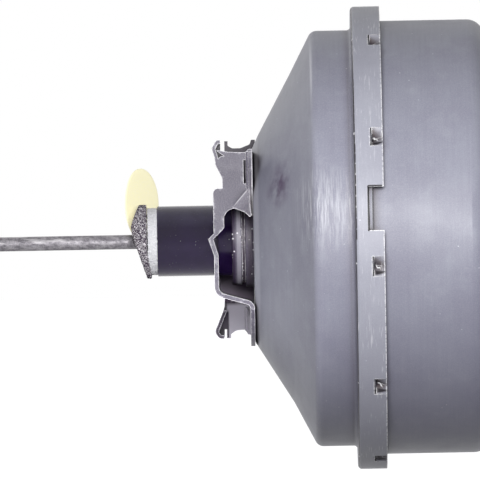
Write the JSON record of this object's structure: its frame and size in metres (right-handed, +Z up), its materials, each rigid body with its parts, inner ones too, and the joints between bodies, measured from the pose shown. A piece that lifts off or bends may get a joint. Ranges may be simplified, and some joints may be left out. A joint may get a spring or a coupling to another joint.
{
  "type": "brake booster",
  "caption": "Vacuum brake booster with lanced steel shells, stamped firewall bracket, moulded valve tube, filter, tag and input pushrod.",
  "frame": {"origin": "on the booster's axis, in the plane where the bracket meets the firewall", "axes": "+X along the axis towards the master cylinder, +Z up, -Y the side that the picture shows"},
  "size_m": [0.3582, 0.28, 0.28],
  "materials": {
    "shell_paint": "satin grey phosphate paint",
    "bracket_paint": "satin grey, worn edges",
    "zinc_steel": "plated",
    "bare_steel": "mottled bare steel",
    "spring_steel": "oiled",
    "black_resin": "glossy moulded resin",
    "rubber": "matte",
    "nylon": "natural",
    "felt": "pressed felt",
    "foam": "open-cell foam",
    "yellow_card": "matt card"
  },
  "bodies": {
    "housing": {"rear_shell": "shell_paint", "rear_neck": "shell_paint", "front_shell": "shell_paint", "firewall_bracket": "bracket_paint", "seal_retainer": "zinc_steel", "rear_bearing": "nylon", "rear_seal": "rubber", "front_seal": "rubber", "stud_plate": "zinc_steel", "master_cylinder_studs": "zinc_steel", "diaphragm": "rubber", "valve_grommet": "rubber"},
    "power_piston": {"diaphragm_plate": "zinc_steel", "valve_body": "black_resin", "valve_key": "zinc_steel", "reaction_disc": "rubber", "output_pushrod": "bare_steel", "pushrod_screw": "zinc_steel", "pushrod_clip": "zinc_steel", "poppet_retainer": "zinc_steel", "poppet_valve": "rubber", "poppet_spring": "spring_steel", "filter_felt": "felt", "return_spring": "spring_steel"},
    "air_valve": {"valve_plunger": "bare_steel"},
    "rod_seat": {"ball_seat": "nylon"},
    "input_rod": {"input_pushrod": "bare_steel", "pedal_bush": "nylon", "spring_seat": "zinc_steel", "valve_return_spring": "spring_steel", "filter_foam": "foam", "card_tag": "yellow_card"},
    "check_valve": {"check_valve_body": "black_resin", "check_valve_cover": "black_resin"},
    "check_disc": {"check_poppet": "rubber", "check_spring": "spring_steel"}
  },
  "joints": [
    {"name": "brake_stroke", "type": "slide", "parent": "housing", "child": "power_piston", "axis": [1, 0, 0], "range_m": [0, 0.03], "stiffness_N_per_m": 1500, "springref_m": -0.06, "deforming": ["return_spring", "diaphragm", "card_tag"]},
    {"name": "air_valve_travel", "type": "slide", "parent": "power_piston", "child": "air_valve", "axis": [1, 0, 0], "range_m": [0, 0.0015], "stiffness_N_per_m": 3000, "springref_m": -0.01, "deforming": ["valve_return_spring", "poppet_valve", "poppet_spring", "filter_foam"]},
    {"name": "rod_yaw", "type": "hinge", "parent": "air_valve", "child": "rod_seat", "pos_m": [0.0243, 0, 0], "axis": [0, 0, 1], "range_deg": [-3, 3], "stiffness_Nm_per_rad": 30},
    {"name": "rod_pitch", "type": "hinge", "parent": "rod_seat", "child": "input_rod", "pos_m": [0.0243, 0, 0], "axis": [0, 1, 0], "range_deg": [-3, 3], "stiffness_Nm_per_rad": 30},
    {"name": "check_valve_swivel", "type": "hinge", "parent": "housing", "child": "check_valve", "pos_m": [0.16575, 0.052, 0.09], "axis": [1, 0, 0], "continuous": true},
    {"name": "check_lift", "type": "slide", "parent": "check_valve", "child": "check_disc", "axis": [1, 0, 0], "range_m": [0, 0.0015], "stiffness_N_per_m": 200, "springref_m": -0.003, "deforming": ["check_spring"]}
  ]
}
